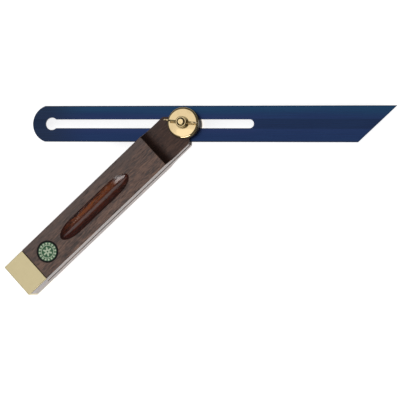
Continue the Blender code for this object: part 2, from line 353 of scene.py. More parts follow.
def makeRosewood():
    look = rosewoodLook
    s = stockShape
    material, tree, shader = makeMaterial("rosewood", {"IOR": 1.55})
    place = placedCoordinates(tree, levels["stockAngle"])
    along, across, height = separate(tree, place)
    aside = calculate(tree, "ABSOLUTE", across)
    figure = streaks(tree, place, look["figureCells"], 2.5)
    fine = streaks(tree, place, look["fineCells"], 3.0, 0.7)
    drift = streaks(tree, place, look["driftCells"], 2.0)
    poreMask = fade(tree, streaks(tree, place, look["poreCells"], 2.0, 0.6), 0.56, 0.68)
    tone = calculate(tree, "MULTIPLY_ADD", figure, 0.4, product(tree, fine, 0.7))
    wood = blendColors(tree, fade(tree, tone, 0.445, 0.555), look["dark"], look["body"])
    wood = blendColors(tree, fade(tree, tone, 0.54, 0.68), wood, look["pale"])
    # One side of the plank is cooler than the other
    lean = calculate(tree, "MULTIPLY_ADD", across, -55.0, drift)
    wood = blendColors(tree, fade(tree, lean, 0.40, 1.05, 0.0, 0.85), wood, look["cool"])
    # The let-down head is darker and rougher
    onHead = product(tree, fade(tree, along, s["headReach"] - 0.0004, s["headReach"], 1.0, 0.0),
                     calculate(tree, "LESS_THAN", aside, s["halfWidth"] - 0.0002))
    wood = blendColors(tree, product(tree, onHead, 0.62), wood, look["head"])
    # Painted shade darkens the cove, most of all near its crisp top edge
    cove = fade(tree, along, s["headReach"] - s["coveLength"], s["headReach"] - 0.0009)
    onCove = product(tree, onHead, cove)
    wood = blendColors(tree, product(tree, onCove, 0.9), wood, look["cove"])
    # Painted shade and the blade's painted reflection darken the round end below its upper edge
    onEnd = product(tree, fade(tree, along, look["endReach"] - 0.0006, look["endReach"], 1.0, 0.0),
                    fade(tree, height, look["endTop"] - 0.0002, look["endTop"], 1.0, 0.0))
    wood = blendColors(tree, product(tree, onEnd, 0.8), wood, look["cove"])
    # The groove was polished down into redder wood; painted light brightens one wall in patches
    start, end, half, bottom = look["grooveBox"]
    depth = calculate(tree, "SUBTRACT", levels["thickness"], height)
    inGroove = product(tree, fade(tree, depth, 0.00002, 0.0001),
                       calculate(tree, "LESS_THAN", aside, half),
                       calculate(tree, "GREATER_THAN", along, start),
                       calculate(tree, "LESS_THAN", along, end),
                       calculate(tree, "GREATER_THAN", height, bottom))
    hollow = blendColors(tree, fade(tree, tone, 0.42, 0.60), look["grooveDark"], look["grooveRed"])
    patches = calculate(tree, "MULTIPLY_ADD", drift, 0.6, product(tree, tone, 0.6))
    # Painted light: patches that follow the grain, lit on one wall only
    litWall = product(tree, fade(tree, patches, 0.52, 0.76),
                     fade(tree, across, *look["litWallAcross"], 1.0, 0.15),
                     fade(tree, along, *look["litWallAlong"], 1.0, 0.2))
    hollow = blendColors(tree, litWall, hollow, look["grooveLitWall"])
    # Painted shade along the groove's lip, where it is shallow
    lipShade = fade(tree, depth, 0.0002, 0.0007, 0.7, 0.0)
    hollow = blendColors(tree, lipShade, hollow, look["grooveDark"])
    color = blendColors(tree, inGroove, wood, hollow)
    color = blendColors(tree, product(tree, poreMask, 0.7), color, look["pore"])
    tree.links.new(color, shader.inputs["Base Color"])
    satin = calculate(tree, "MULTIPLY_ADD", fine, 0.16, look["roughness"] - 0.08)
    rough = calculate(tree, "MULTIPLY_ADD", poreMask, 0.2, satin)
    onSide = fade(tree, aside, s["halfWidth"] - 0.0003, s["halfWidth"] - 0.0001)
    for mask, value in ((onSide, look["sideRoughness"]), (onHead, look["headRoughness"]),
                        (onCove, look["coveRoughness"]), (inGroove, look["grooveRoughness"])):
        rough = addNode(tree, "ShaderNodeMix", {"Factor": mask, 2: rough, 3: value}).outputs[0]
    tree.links.new(rough, shader.inputs["Roughness"])
    # The rough end grain of the cove gives back less light
    gloss = calculate(tree, "MULTIPLY_ADD", onCove, -0.25, 0.5)
    tree.links.new(gloss, shader.inputs["Specular IOR Level"])
    relief = calculate(tree, "MULTIPLY_ADD", poreMask, -1.0, product(tree, fine, 0.35))
    addBump(tree, shader, relief, 0.6, look["poreDepth"])
    return material


# Stock: two cheeks of one outline either side of the slot, joined by the tenon at the heel

stockShape = {
    "halfWidth": 0.01005,
    "lobeRadius": 0.00805,         # the round end about the pivot
    "shoulderInner": 0.00316,      # where the shoulder leaves the round end
    "shoulderReach": 0.0057,       # where the shoulder reaches the full width
    "shoulderRound": 0.002,
    "headReach": 0.0215,           # the crisp edge at the top of the cove
    "coveLength": 0.0074,
    "jointReach": 0.1081,          # the face that the cap butts on
    "slotEnd": 0.1104,
    "edgeRound": 0.00035,
    "slotEdgeRound": 0.00012,
    "grooveStart": 0.0395,
    "grooveEnd": 0.0885,
    "grooveHalf": 0.0044,
    "grooveBottom": 0.0014,        # how round the bottom is between the two walls
    "grooveDepth": 0.0021,
    "grooveEndLength": 0.0105,
    "badgeReach": 0.0985,
    "recessRadius": 0.00592,       # the round recess that the badge lies in
    "recessDepth": 0.0005,
    "boreRadius": 0.0033,
    "tenonInset": 0.00125,
    "tenonEnd": 0.12015,
}


def stockOutline():
    # Half of the plan: an arc from the tip, the slanted shoulder, its round corner, then stations
    # along the straight side that crowd where the surface bends
    s = stockShape
    radius = s["lobeRadius"]
    inner = math.sqrt(radius ** 2 - s["shoulderInner"] ** 2)
    sweep = np.linspace(0, math.acos(-s["shoulderInner"] / radius), 40)
    arc = np.c_[-radius * np.cos(sweep), radius * np.sin(sweep)]
    corner = roundCorners([(s["shoulderInner"], inner, 0),
                           (s["shoulderReach"], s["halfWidth"], s["shoulderRound"]),
                           (s["headReach"], s["halfWidth"], 0)], 10)[1:-1]
    slant = arc[-1] + np.linspace(0, 1, 5)[1:-1, None] * (corner[0] - arc[-1])
    coveStart = s["headReach"] - s["coveLength"]
    ease = (1 - np.cos(np.linspace(0, math.pi / 2, 28))) * s["grooveEndLength"]
    straight = (s["grooveStart"] + s["grooveEndLength"], s["grooveEnd"] - s["grooveEndLength"])
    stations = np.concatenate([
        np.linspace(corner[-1, 0], coveStart, 6)[1:],
        np.linspace(coveStart, s["headReach"], 26)[1:],
        np.linspace(s["headReach"], s["grooveStart"], 8)[1:-1],
        s["grooveStart"] + ease,
        np.linspace(*straight, 14)[1:-1],
        s["grooveEnd"] - ease[::-1],
        np.linspace(s["grooveEnd"], s["jointReach"], 8)[1:],
    ])
    side = np.c_[stations, np.full(len(stations), s["halfWidth"])]
    return np.concatenate([arc, slant, corner, side])


def outlineNormals(outline):
    # The mean of the two sides' normals, lengthened so that an inset keeps its width
    step = np.diff(outline, axis=0)
    step /= np.linalg.norm(step, axis=1)[:, None]
    out = np.c_[-step[:, 1], step[:, 0]]
    before = np.concatenate([[[-1.0, 0.0]], out])
    after = np.concatenate([out, [[0.0, 1.0]]])
    before[0], after[0] = (-1, 0), (-1, 0)
    mean = before + after
    mean /= np.linalg.norm(mean, axis=1)[:, None]
    return mean / np.clip((mean * before).sum(axis=1), 0.5, 1)[:, None]


def faceHeight(along):
    # Level over the head, a circular cove up to the full face, then level
    s = stockShape
    relief = levels["thickness"] - levels["headTop"]
    radius = (s["coveLength"] ** 2 + relief ** 2) / (2 * relief)
    run = np.clip(along - (s["headReach"] - s["coveLength"]), 0, s["coveLength"])
    rise = radius - np.sqrt(radius ** 2 - run ** 2)
    return levels["headTop"] + np.where(along >= s["headReach"] - 1e-7, relief, rise)


def grooveEdge(along):
    # Half the groove's width: constant, with an elliptical end over its last length
    s = stockShape
    inside = np.minimum(along - s["grooveStart"], s["grooveEnd"] - along)
    share = np.clip(1 - inside / s["grooveEndLength"], 0, 1)
    return s["grooveHalf"] * np.sqrt(1 - share ** 2) * (inside >= 0)


def grooveSink(along, across):
    # Depth of two sloping walls that meet in a round bottom: the slope times the run from the edge,
    # less what the bottom's hyperbola of sqrt(across squared + bottom squared) lifts
    s = stockShape
    edge = grooveEdge(along)
    bottom = s["grooveBottom"]
    slope = s["grooveDepth"] / (math.hypot(s["grooveHalf"], bottom) - bottom)
    return slope * np.maximum(np.hypot(edge, bottom) - np.hypot(across, bottom), 0)


def cheekMesh(name, grooved):
    # A closed ring of points at each station of the outline: up one side, round its edge, across
    # the face, down the other side and back along the slot
    s = stockShape
    outline = stockOutline()
    normal = outlineNormals(outline)
    slotFace = levels["middle"] + levels["slotHalf"]
    bend = np.linspace(0, math.pi / 2, 5)
    inset = np.concatenate([[s["slotEdgeRound"], 0], s["edgeRound"] * (1 - np.cos(bend))])
    below = s["edgeRound"] * (1 - np.sin(bend))
    along = outline[:, 0, None] - inset * normal[:, 0, None]
    across = np.maximum(outline[:, 1, None] - inset * normal[:, 1, None], 0)
    across[0] = 0
    top = faceHeight(along[:, 2:]) - below
    low = np.tile([slotFace, slotFace + s["slotEdgeRound"]], (len(outline), 1))
    side = np.stack([along, across, np.concatenate([low, top], axis=1)], axis=-1)
    # Across the face: two outer bands, and an inner band that the groove fills
    faceAlong, faceHalf = along[:, -1], across[:, -1]
    inner = np.maximum(grooveEdge(faceAlong), np.minimum(0.0001, faceHalf / 2))
    outerShare = np.linspace(0, 1, 7)[1:]
    innerShare = np.linspace(1, -1, 31)[1:]
    acrossFace = np.concatenate([
        faceHalf[:, None] + outerShare * (inner - faceHalf)[:, None],
        innerShare * inner[:, None],
        -inner[:, None] + outerShare[:-1] * (inner - faceHalf)[:, None],
    ], axis=1)
    alongFace = np.repeat(faceAlong[:, None], acrossFace.shape[1], axis=1)
    faceLevel = faceHeight(alongFace)
    if grooved:
        faceLevel = faceLevel - grooveSink(alongFace, acrossFace)
    face = np.stack([alongFace, acrossFace, faceLevel], axis=-1)
    mirrored = side[:, ::-1] * np.array([1, -1, 1])
    slotShare = np.linspace(-1, 1, 7)[1:-1]
    slotAcross = across[:, :1] * slotShare
    slotAlong = np.repeat(along[:, :1], len(slotShare), axis=1)
    slot = np.stack([slotAlong, slotAcross, np.full_like(slotAcross, slotFace)], axis=-1)
    ring = np.concatenate([side, face, mirrored, slot], axis=1)
    # The last ring steps down to go under the cap's plate, and is carried to the end of the slot
    drawn = ring[-1].copy()
    drawn[:, 2] = np.minimum(drawn[:, 2], levels["thickness"] - s["tenonInset"])
    carried = drawn.copy()
    carried[:, 0] = s["slotEnd"]
    ring = np.concatenate([ring, drawn[None], carried[None]])
    rows, columns = ring.shape[:2]
    faces = gridFaces(rows, columns, closeColumns=True)
    faces.append((np.arange(columns) + (rows - 1) * columns).tolist())
    if not grooved:
        ring[..., 2] = levels["thickness"] - ring[..., 2]
    return makeMesh(name, toWorld(ring), faces)


def makeStock(material):
    # The two cheeks, bored for the bolt and sunk for the badge, and the tenon under the cap. The
    # cutters reach past both faces
    s = stockShape
    below, above = -0.001, 0.02
    floor = levels["thickness"] - s["recessDepth"]
    bore = [(0, below), (s["boreRadius"], below), (s["boreRadius"], above), (0, above)]
    recess = [(0, floor), (s["recessRadius"], floor), (s["recessRadius"], above), (0, above)]
    badgeCentre = toWorld(np.array([s["badgeReach"], 0, 0]))[:2]
    upper = cutAway(cheekMesh("upperCheek", True),
                    [turnedMesh("bore", bore), turnedMesh("recess", recess, 128, badgeCentre)])
    lower = cutAway(cheekMesh("lowerCheek", False), [turnedMesh("bore", bore)])
    half, start, end = s["halfWidth"], s["slotEnd"], s["tenonEnd"]
    tenon = bar("tenon", [(start, -half), (end, -half), (end, half), (start, half)],
                s["tenonInset"], levels["thickness"] - s["tenonInset"])
    turnMesh(tenon, levels["stockAngle"])
    makePiece("rosewood_stock", joinMeshes("stock", [upper, lower, tenon]), material,
              "stock_body", ["stock"], 28)


# Brass: one warm metal in several finishes

brassLook = {
    "turned": (0.72, 0.555, 0.31),
    "plate": (0.58, 0.495, 0.292),
    "plateDull": (0.42, 0.33, 0.18),
    "plateBright": (0.80, 0.70, 0.46),
    "bolt": (0.80, 0.62, 0.34),
    "tarnishAndShade": (0.145, 0.120, 0.036),
    # Rings of painted shade in the tarnish colour: from radius, to radius, share
    "discShadeBands": ((0.0, 0.0034, 0.40), (0.00790, 0.0090, 0.93)),
    "nutShadeBands": ((0.0019, 0.00212, 0.8), (0.00256, 0.0031, 0.85), (0.0034, 0.0060, 0.75)),
    "boltShadeBands": ((0.00135, 0.0019, 0.8),),
    # Painted shade on the wings' sides: how far from their middle, from what radius, share
    "wingSideShade": (0.0003, 0.0036, 0.6),
    "discRoughness": 0.07,
    "nutRoughness": 0.17,
    "boltRoughness": 0.25,
    "plateRoughness": 0.34,
    # Noise cells to the metre
    "latheRings": 9000.0,
    "patchCells": 260.0,
    "scratchCells": (160, 9000, 9000),
    "platePatchCells": 240.0,
}


def makeTurnedBrass(name, color, roughness, shadeBands, wingSideShade=None):
    # Fine rings about the pivot from the lathe, a little tarnish in patches, and painted shade in
    # the same dark colour in bands of the radius and on the wings' sides
    material, tree, shader = makeMaterial(name, {"Metallic": 1.0})
    place = placedCoordinates(tree, levels["nutTurn"])
    x, y, height = separate(tree, place)
    radius = length(tree, x, y)
    count = product(tree, radius, brassLook["latheRings"])
    rings = addNode(tree, "ShaderNodeTexNoise", {"W": count, "Scale": 1.0, "Detail": 2.0},
                    noise_dimensions="1D").outputs["Fac"]
    stain = fade(tree, cloudNoise(tree, place, brassLook["patchCells"], 3.0), 0.50, 0.85, 0.0, 0.18)
    # Painted shade: dark rings at the disc's rim and round the nut's foot, on the hub, the wings'
    # inner parts and the bolt's end
    for low, high, share in shadeBands:
        inside = product(tree, fade(tree, radius, low - 0.0001, low + 0.0001),
                         fade(tree, radius, high - 0.0001, high + 0.0001, 1.0, 0.0))
        stain = calculate(tree, "MAXIMUM", stain, product(tree, inside, share))
    # Painted shade on the wings' sides
    if wingSideShade:
        half, start, share = wingSideShade
        beside = fade(tree, calculate(tree, "ABSOLUTE", y), half - 0.00005, half + 0.00005)
        onWing = product(tree, beside, calculate(tree, "GREATER_THAN", radius, start))
        stain = calculate(tree, "MAXIMUM", stain, product(tree, onWing, share))
    tinted = blendColors(tree, stain, color, brassLook["tarnishAndShade"])
    tree.links.new(tinted, shader.inputs["Base Color"])
    rough = calculate(tree, "MULTIPLY_ADD", rings, 0.08, roughness - 0.04)
    rough = calculate(tree, "MULTIPLY_ADD", stain, 0.12, rough)
    tree.links.new(rough, shader.inputs["Roughness"])
    addBump(tree, shader, rings, 0.15, 0.000002)
    return material


def makePlateBrass():
    # Flat brass drawn along the stock with fine scratches, duller than the turned pieces
    look = brassLook
    material, tree, shader = makeMaterial("polished_brass", {"Metallic": 1.0})
    place = placedCoordinates(tree, levels["stockAngle"])
    scratches = streaks(tree, place, look["scratchCells"], 3.0, 0.7)
    patches = cloudNoise(tree, place, look["platePatchCells"], 5.0)
    stain = fade(tree, patches, 0.45, 0.80, 0.0, 0.10)
    color = blendColors(tree, stain, look["plate"], look["plateDull"])
    lit = fade(tree, scratches, 0.55, 0.75, 0.0, 0.25)
    color = blendColors(tree, lit, color, look["plateBright"])
    tree.links.new(color, shader.inputs["Base Color"])
    rough = calculate(tree, "MULTIPLY_ADD", scratches, 0.18, look["plateRoughness"] - 0.09)
    tree.links.new(rough, shader.inputs["Roughness"])
    addBump(tree, shader, scratches, 0.3, 0.000006)
    return material


# Heel cap: a brass strap folded over the heel, whose two pins go in through its end

capShape = {
    "joint": 0.1084,               # from the pivot to the strap's two plain ends
    "heel": 0.12145,
    "halfWidth": 0.0100,
    "wall": 0.0012,
    "endWall": 0.0013,
    "edgeRound": 0.00035,
    "pinRadius": 0.0008,
    "pinSpacing": 0.0096,
    "pinLength": 0.0075,
}


def makeHeelCap(material):
    # The strap's outline seen from the side, carried across the stock, its edges rounded
    c = capShape
    joint, heel, wall, top = c["joint"], c["heel"], c["wall"], levels["thickness"]
    inside = heel - c["endWall"]
    outline = np.array([(joint, 0), (heel, 0), (heel, top), (joint, top), (joint, top - wall),
                        (inside, top - wall), (inside, wall), (joint, wall)])
    sides = [np.c_[outline[:, 0], np.full(len(outline), across), outline[:, 1]]
             for across in (-c["halfWidth"], c["halfWidth"])]
    strap = prism("strap", *map(toWorld, sides))

    def prepare(holder):
        ease = holder.modifiers.new("ease", "BEVEL")
        ease.width = c["edgeRound"]
        ease.segments = 4
        ease.limit_method = "ANGLE"
        ease.angle_limit = math.radians(30)
        ease.use_clamp_overlap = True

    makePiece("brass_heel_cap", reshape(strap, prepare), material, "stock_body", ["heel_cap"],
              50)
    # Each pin lies along the stock with a slightly peened end
    radius, start = c["pinRadius"], -c["pinLength"]
    profile = roundCorners([(0, start, 0), (radius, start, 0.0002), (radius, -0.00002, 0.00025),
                            (radius / 2, 0, 0.0004), (0, 0, 0)])
    points, faces = turnedSurface(profile, 40)
    for name, side in (("cap_pin_left", -1), ("cap_pin_right", 1)):
        laid = np.stack([points[..., 2] + heel, points[..., 0] + side * c["pinSpacing"] / 2,
                         points[..., 1] + levels["middle"]], axis=-1)
        makePiece("brass_" + name, makeMesh(name, toWorld(laid), faces), material, "stock_body",
                  [name])


# Badge: a thin enamelled disc, green, with pale beads, a circle and a rosette inside a black rim

badgeLook = {
    "radius": 0.00582,
    "thickness": 0.0003,
    "rimInner": 0.00495,
    "beadReach": 0.00425,
    "beadRadius": 0.00052,
    "beads": 16,
    "circleReach": 0.00336,
    "circleHalf": 0.00016,
    "petals": 6,
    "petalReach": 0.0026,
    "petalDip": 0.0008,
    "heart": 0.00045,
    "green": (0.046, 0.150, 0.066),
    "paleGreen": (0.10, 0.26, 0.13),
    "pale": (0.62, 0.74, 0.53),
    "black": (0.003, 0.003, 0.003),
    "speckleCells": 2600.0,
}


def makeEnamel():
    b = badgeLook
    material, tree, shader = makeMaterial("green_enamel", {"IOR": 1.35})
    centre = toWorld(np.array([stockShape["badgeReach"], 0, 0]))
    place = placedCoordinates(tree, levels["stockAngle"], (centre[0], centre[1], 0))
    x, y, height = separate(tree, place)
    radius = length(tree, x, y)
    angle = calculate(tree, "ARCTAN2", y, x)
    # A bead is where the distance to the middle of its share of the ring is under its radius
    sector = 2 * math.pi / b["beads"]
    turn = calculate(tree, "FLOORED_MODULO", angle, sector)
    aside = product(tree, calculate(tree, "SUBTRACT", turn, sector / 2), b["beadReach"])
    away = length(tree, aside, calculate(tree, "SUBTRACT", radius, b["beadReach"]))
    beads = fade(tree, away, b["beadRadius"] - 0.00006, b["beadRadius"] + 0.00006, 1.0, 0.0)
    off = calculate(tree, "ABSOLUTE", calculate(tree, "SUBTRACT", radius, b["circleReach"]))
    circle = fade(tree, off, b["circleHalf"] - 0.00005, b["circleHalf"] + 0.00005, 1.0, 0.0)
    # The rosette's edge swings in and out by the cosine of the angle times the number of petals
    wave = calculate(tree, "COSINE", product(tree, angle, float(b["petals"])))
    edge = calculate(tree, "MULTIPLY_ADD", wave, b["petalDip"], b["petalReach"] - b["petalDip"])
    rosette = product(tree, calculate(tree, "LESS_THAN", radius, edge),
                      calculate(tree, "GREATER_THAN", radius, b["heart"]))
    marks = calculate(tree, "MAXIMUM", calculate(tree, "MAXIMUM", beads, rosette), circle)
    speckle = cloudNoise(tree, place, b["speckleCells"], 3.0)
    color = blendColors(tree, fade(tree, speckle, 0.45, 0.75, 0.0, 0.3), b["green"], b["paleGreen"])
    color = blendColors(tree, marks, color, b["pale"])
    rim = fade(tree, radius, b["rimInner"] - 0.00008, b["rimInner"] + 0.00008)
    color = blendColors(tree, rim, color, b["black"])
    tree.links.new(color, shader.inputs["Base Color"])
    rough = calculate(tree, "MULTIPLY_ADD", rim, 0.35, 0.25)
    rough = calculate(tree, "MULTIPLY_ADD", speckle, 0.15, rough)
    tree.links.new(rough, shader.inputs["Roughness"])
    addBump(tree, shader, marks, 0.2, 0.00003)
    return material


def makeBadge(material):
    # A flat disc with a softened edge, level with the stock's face
    radius, top = badgeLook["radius"], levels["thickness"]
    low = top - badgeLook["thickness"]
    profile = roundCorners([(0, low, 0), (radius, low, 0), (radius, top, 0.00012), (0, top, 0)])
    rings = np.array([(inner, top) for inner in np.linspace(radius - 0.0004, 0.0002, 12)])
    profile = np.concatenate([profile[:-1], rings, profile[-1:]])
    centre = toWorld(np.array([stockShape["badgeReach"], 0, 0]))[:2]
    makePiece("enamel_badge", turnedMesh("badge", profile, 128, centre), material, "stock_body",
              ["badge"], 40)


# Blade: ground and blued spring steel

bladeLook = {
    "edge": (0.010, 0.018, 0.040),
    "teal": (0.015, 0.047, 0.104),
    "navy": (0.015, 0.030, 0.088),
    "violet": (0.024, 0.034, 0.104),
    "tail": (0.017, 0.026, 0.052),
    "line": (0.03, 0.07, 0.17),
    "roughness": 0.27,
    "lineCells": (30, 9000, 9000),
    "cloudCells": (18, 120, 120),
}
bladeShape = {
    "halfWidth": 0.009525,
    "halfThickness": 0.0006,
    "reach": 0.1107,
    "tail": 0.0827,
    "tipAngle": math.radians(43.8),
    "tailExcess": 0.00058,         # the tail's radius over half the width
    "chamfer": 0.00012,
    "halfSlot": 0.00234,
    "slotReach": 0.0342,
    "keyholeReach": 0.0723,
    "keyholeRadius": 0.0033,
}


def makeBluedSteel():
    # Grinding lines along the blade, and temper colours that shift from teal at the upper edge
    # through navy to violet by the slot
    look = bladeLook
    material, tree, shader = makeMaterial("blued_steel", {"Metallic": 1.0, "Anisotropic": 0.3})
    place = placedCoordinates(tree)
    x, y, height = separate(tree, place)
    fromMiddle = calculate(tree, "ABSOLUTE", y)
    lines = streaks(tree, place, look["lineCells"], 3.0, 0.65)
    clouds = streaks(tree, place, look["cloudCells"], 3.0)
    drift = calculate(tree, "MULTIPLY_ADD", calculate(tree, "SUBTRACT", clouds, 0.5), 0.008, y)
    color = blendColors(tree, fade(tree, drift, 0.002, 0.0085), look["navy"], look["teal"])
    nearSlot = product(tree, fade(tree, fromMiddle, 0.0024, 0.0062, 1.0, 0.0),
                       fade(tree, x, 0.030, 0.045, 1.0, 0.25))
    color = blendColors(tree, product(tree, nearSlot, 0.6), color, look["violet"])
    # Over these lie the duller tail, the dark edges of the outline and the slot, and pale lines
    for share, tint in ((fade(tree, x, -0.078, -0.050, 0.9, 0.0), "tail"),
                        (fade(tree, fromMiddle, 0.0088, 0.0093, 0.0, 0.85), "edge"),
                        (fade(tree, fromMiddle, 0.0024, 0.0028, 0.5, 0.0), "edge"),
                        (fade(tree, lines, 0.45, 0.75, 0.0, 0.35), "line")):
        color = blendColors(tree, share, color, look[tint])
    tree.links.new(color, shader.inputs["Base Color"])
    rough = calculate(tree, "MULTIPLY_ADD", lines, 0.14, look["roughness"] - 0.07)
    tree.links.new(rough, shader.inputs["Roughness"])
    addBump(tree, shader, lines, 0.3, 0.000006)
    return material


def makeBlade(material):
    # Two loops of equal count, the outline and the slot with its keyhole, joined by rings that
    # step over the small chamfers and down the walls
    b = bladeShape
    half, slot, reach = b["halfWidth"], b["halfSlot"], b["slotReach"]
    tailRadius = half + b["tailExcess"]
    tailCentre = tailRadius - b["tail"]
    tailSweep = math.asin(half / tailRadius)
    tipStart = b["reach"] - 2 * half / math.tan(b["tipAngle"])
    keySweep = math.asin(slot / b["keyholeRadius"])
    keyEdge = -b["keyholeReach"] + b["keyholeRadius"] * math.cos(keySweep)
    quarter, eighth = math.pi / 2, math.pi / 8

    def line(start, end, count):
        return np.linspace(start, end, count, endpoint=False)

    def arc(centre, radius, start, end, count):
        turn = line(start, end, count)
        return np.c_[centre + radius * np.cos(turn), radius * np.sin(turn)]

    def keyArc(start, end, count):
        return arc(-b["keyholeReach"], b["keyholeRadius"], start, end, count)

    def slotArc(start, end, count):
        return arc(reach, slot, start, end, count)

    tailTop = (tailCentre + tailRadius * math.cos(math.pi - tailSweep), half)
    tailLow = (tailTop[0], -half)
    pairs = [
        (line((reach, half), (keyEdge, half), 60), line((reach, slot), (keyEdge, slot), 60)),
        (line((keyEdge, half), tailTop, 12), keyArc(keySweep, quarter, 12)),
        (arc(tailCentre, tailRadius, math.pi - tailSweep, math.pi + tailSweep, 64),
         keyArc(quarter, 3 * quarter, 64)),
        (line(tailLow, (keyEdge, -half), 12), keyArc(3 * quarter, 2 * math.pi - keySweep, 12)),
        (line((keyEdge, -half), (reach, -half), 60), line((keyEdge, -slot), (reach, -slot), 60)),
        (line((reach, -half), (tipStart, -half), 14), slotArc(-quarter, -eighth, 14)),
        (line((tipStart, -half), (b["reach"], half), 12), slotArc(-eighth, eighth, 12)),
        (line((b["reach"], half), (reach, half), 20), slotArc(eighth, quarter, 20)),
    ]
    outer = np.concatenate([pair[0] for pair in pairs])
    inner = np.concatenate([pair[1] for pair in pairs])

    middle, top, edge = levels["middle"], b["halfThickness"], b["chamfer"]
    outerIn = insetLoop(outer, edge)
    innerOut = insetLoop(inner, -edge / 2)
    between = outerIn + (innerOut - outerIn) * 0.5
    rings = [(outer, top - edge), (outerIn, top), (between, top), (innerOut, top),
             (inner, top - edge / 2), (inner, -top + edge / 2), (innerOut, -top),
             (between, -top), (outerIn, -top), (outer, -top + edge), (outer, top - edge)]
    points = np.array([np.c_[loop, np.full(len(loop), middle + height)] for loop, height in rings])
    mesh = makeMesh("blade", points, gridFaces(len(rings), len(outer), closeColumns=True))
    makePiece("blued_blade", mesh, material, "blade_body", ["blade"], 20)


# Clamp discs: turned brass, the front one slightly domed, the rear one countersunk

discShape = {
    "frontRadius": 0.0082,
    "rearRadius": 0.00795,
    "frontBore": 0.0021,
    "frontLow": 0.0135,
    "dome": 0.00022,
    "frontRoundHigh": 0.0009,
    "frontRoundWide": 0.0015,
    "rearLow": 0.0007,
    "rearHigh": 0.0024,
    "rearRound": 0.0003,
    "rearBore": 0.0033,
    "sinkRadius": 0.0048,
    "sinkTop": 0.0021,
}


def makeDiscs(material):
    # The front face falls from the middle by dome times the square of the radius over the rim's,
    # and its rim is a quarter of an ellipse, wider than it is high
    d = discShape
    bore, edge, low, top = d["frontBore"], d["frontRadius"], d["frontLow"], levels["discTop"]
    bend = np.linspace(0, math.pi / 2, 20)
    rim = np.c_[edge - d["frontRoundWide"] * (1 - np.cos(bend)),
                top - d["dome"] - d["frontRoundHigh"] * (1 - np.sin(bend))]
    foot = roundCorners([(bore, low + 0.0008, 0), (bore, low, 0.0001), (edge, low, 0.00015),
                         (*rim[0], 0)], 6)
    inward = np.linspace(rim[-1, 0], bore, 24)[1:]
    flat = np.c_[inward, top - d["dome"] * (inward / rim[-1, 0]) ** 2]
    front = turnedMesh("frontDisc", np.concatenate([foot[:-1], rim, flat, foot[:1]]), 160)
    makePiece("turned_front_disc", front, material, "disc_body", ["front_disc"], 40)
    bore, edge, low, top = d["rearBore"], d["rearRadius"], d["rearLow"], d["rearHigh"]
    wall = (bore, d["sinkTop"] + 0.0001, 0)
    profile = roundCorners([wall, (bore, d["sinkTop"], 0), (d["sinkRadius"], low, 0.0001),
                            (edge, low, d["rearRound"]), (edge, top, 0.00012), (bore, top, 0),
                            wall], 5)
    rear = turnedMesh("rearDisc", profile, 160)
    makePiece("turned_rear_disc", rear, material, "stock_body", ["rear_disc"], 40)


# Pivot bolt: a flat countersunk head, a shank with two flats for the blade's slot, and a thread

boltShape = {
    "headRadius": 0.0045,
    "rim": 0.0007,
    "shankRadius": 0.003,
    "coneTop": 0.0021,
    "shoulder": 0.0129,
    "threadRadius": 0.0018,
    "threadDepth": 0.00022,
    "pitch": 0.0006,
    "end": 0.0212,
    "endRound": 0.0003,
    "endChamfer": 0.00045,
    "dimple": 0.00015,             # depth of the hollow in the end
    "dimpleRadius": 0.00066,
    "flat": 0.00204,               # from the axis to the flats
    "steps": 96,                   # points around
    "threadRows": 132,
}


def makeBolt(material):
    # The thread's radius falls by a triangle wave of (height / pitch - angle / turn)
    b = boltShape
    head, shank, thread = b["headRadius"], b["shankRadius"], b["threadRadius"]
    low, high = levels["middle"] - levels["slotHalf"], levels["middle"] + levels["slotHalf"]
    top = b["end"] - b["endRound"]
    lower = roundCorners([(0, 0, 0), (head, 0, 0.00025), (head, b["rim"], 0.0001),
                          (shank, b["coneTop"], 0.0002), (shank, low, 0)], 5)
    # The doubled heights are the ledges where the flats begin and end
    upper = np.array([(shank, low), (shank, low), (shank, high), (shank, high),
                      (shank, b["shoulder"] - 0.0002), (shank - 0.0002, b["shoulder"]),
                      (thread, b["shoulder"])])
    heights = np.linspace(b["shoulder"] + 0.0001, top, b["threadRows"])
    tip = roundCorners([(thread, top, 0), (thread - b["endChamfer"], b["end"], 0.0002),
                        (b["dimpleRadius"], b["end"], 0.0001), (0, b["end"] - b["dimple"], 0)], 5)
    straight = np.c_[np.full(b["threadRows"], thread), heights]
    profile = np.concatenate([lower, upper, straight, tip[1:]])
    points, faces = turnedSurface(profile, b["steps"])
    flatRows = slice(len(lower) + 1, len(lower) + 3)
    points[flatRows, :, 1] = np.clip(points[flatRows, :, 1], -b["flat"], b["flat"])
    turn = np.linspace(0, 1, b["steps"], endpoint=False)
    wave = np.abs(2 * ((heights[:, None] / b["pitch"] - turn) % 1) - 1)
    runIn = np.clip((heights - b["shoulder"]) / b["pitch"], 0, 1)
    runOut = np.clip((top - heights) / (b["pitch"] / 2), 0, 1)
    shrink = 1 - b["threadDepth"] / thread * (1 - wave) * (runIn * runOut)[:, None]
    first = len(lower) + len(upper)
    points[first:first + b["threadRows"], :, :2] *= shrink[..., None]
    makePiece("pivot_bolt_brass", makeMesh("bolt", points, faces), material, "bolt_body",
              ["pivot_bolt"], 36)


# Wing nut: a tapering hub and two thin wings that thicken where they run into it

nutShape = {
    "bore": 0.0021,
    "footRadius": 0.0031,
    "topRadius": 0.00288,
    "topRound": 0.00032,
    "hubHeight": 0.0048,
    "span": 0.0178,
    "height": 0.0082,
    "wingRoot": 0.0022,            # where the wings start inside the hub
    "rootLow": 0.0007,
    "rootHigh": 0.0040,
    "tipThickness": 0.0008,
    "rootThickness": 0.0019,
    "flareLength": 0.0012,
    "tipRadius": 0.0023,
    "tipRound": 0.0006,
    "steps": 48,                   # points around a wing's section
}


